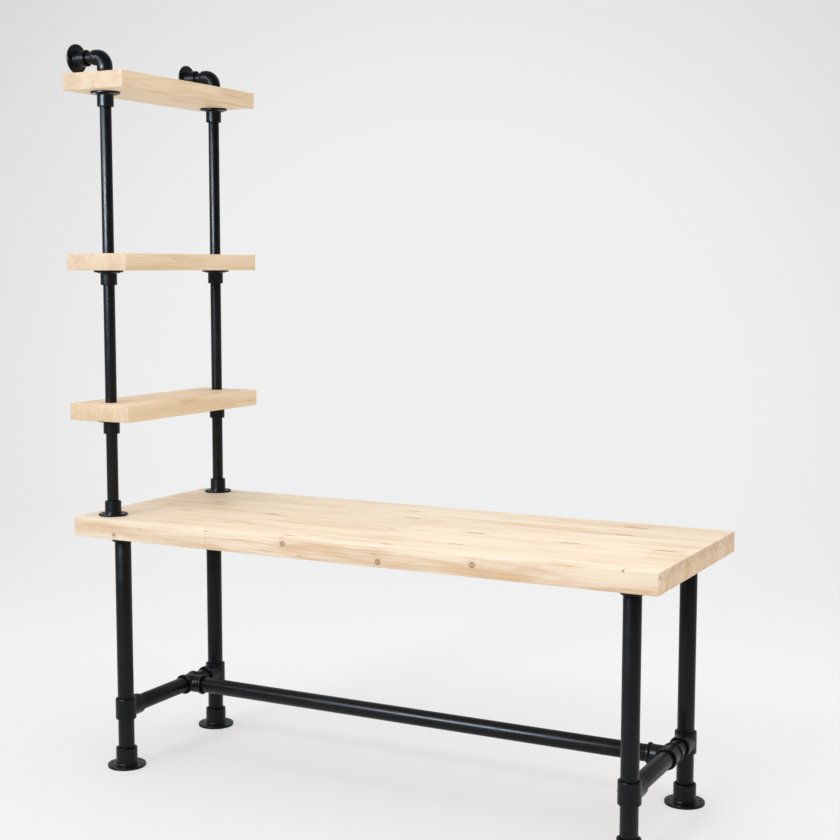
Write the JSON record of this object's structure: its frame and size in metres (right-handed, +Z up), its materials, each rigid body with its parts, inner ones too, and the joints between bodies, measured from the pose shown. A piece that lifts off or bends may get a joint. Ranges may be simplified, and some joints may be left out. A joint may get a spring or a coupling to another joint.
{
  "type": "potting bench",
  "caption": "Thick pine worktop on a black pipe frame with flanged feet, and a pipe tower of pine shelves at one end with wall flanges at its top.",
  "frame": {"origin": "on the floor, in the middle of the overall length and width", "axes": "+X along the worktop away from the shelf tower, +Y to the back, +Z up"},
  "size_m": [1.82, 0.665, 2.1495],
  "materials": {
    "pine": "sanded, clear matt",
    "black_steel": "satin black powder coat",
    "black_cast": "satin black powder coat on cast iron",
    "grub_steel": "black oxide",
    "screw_steel": "black oxide"
  },
  "bodies": {
    "root": {"worktop": "pine", "shelf_low": "pine", "shelf_middle": "pine", "shelf_top": "pine", "leg_front_left": "black_steel", "floor_flange_front_left": "black_cast", "worktop_flange_front_left": "black_cast", "leg_tee_front_left": "black_cast", "leg_back_left": "black_steel", "floor_flange_back_left": "black_cast", "worktop_flange_back_left": "black_cast", "leg_tee_back_left": "black_cast", "leg_front_right": "black_steel", "floor_flange_front_right": "black_cast", "worktop_flange_front_right": "black_cast", "leg_tee_front_right": "black_cast", "leg_back_right": "black_steel", "floor_flange_back_right": "black_cast", "worktop_flange_back_right": "black_cast", "leg_tee_back_right": "black_cast", "end_stretcher_left": "black_steel", "rail_tee_left": "black_cast", "end_stretcher_right": "black_steel", "rail_tee_right": "black_cast", "long_rail": "black_steel", "upright_front": "black_steel", "base_flange_front": "black_cast", "elbow_front": "black_cast", "nipple_front": "black_steel", "wall_flange_front": "black_cast", "shelf_flange_low_front": "black_cast", "shelf_flange_middle_front": "black_cast", "shelf_flange_top_front": "black_cast", "upright_back": "black_steel", "base_flange_back": "black_cast", "elbow_back": "black_cast", "nipple_back": "black_steel", "wall_flange_back": "black_cast", "shelf_flange_low_back": "black_cast", "shelf_flange_middle_back": "black_cast", "shelf_flange_top_back": "black_cast", "leg_frame_grub_screws": "grub_steel", "tower_grub_screws": "grub_steel", "worktop_flange_screws": "screw_steel", "base_flange_screws": "screw_steel", "shelf_screws_low": "screw_steel", "shelf_screws_middle": "screw_steel", "shelf_screws_top": "screw_steel"}
  },
  "joints": []
}
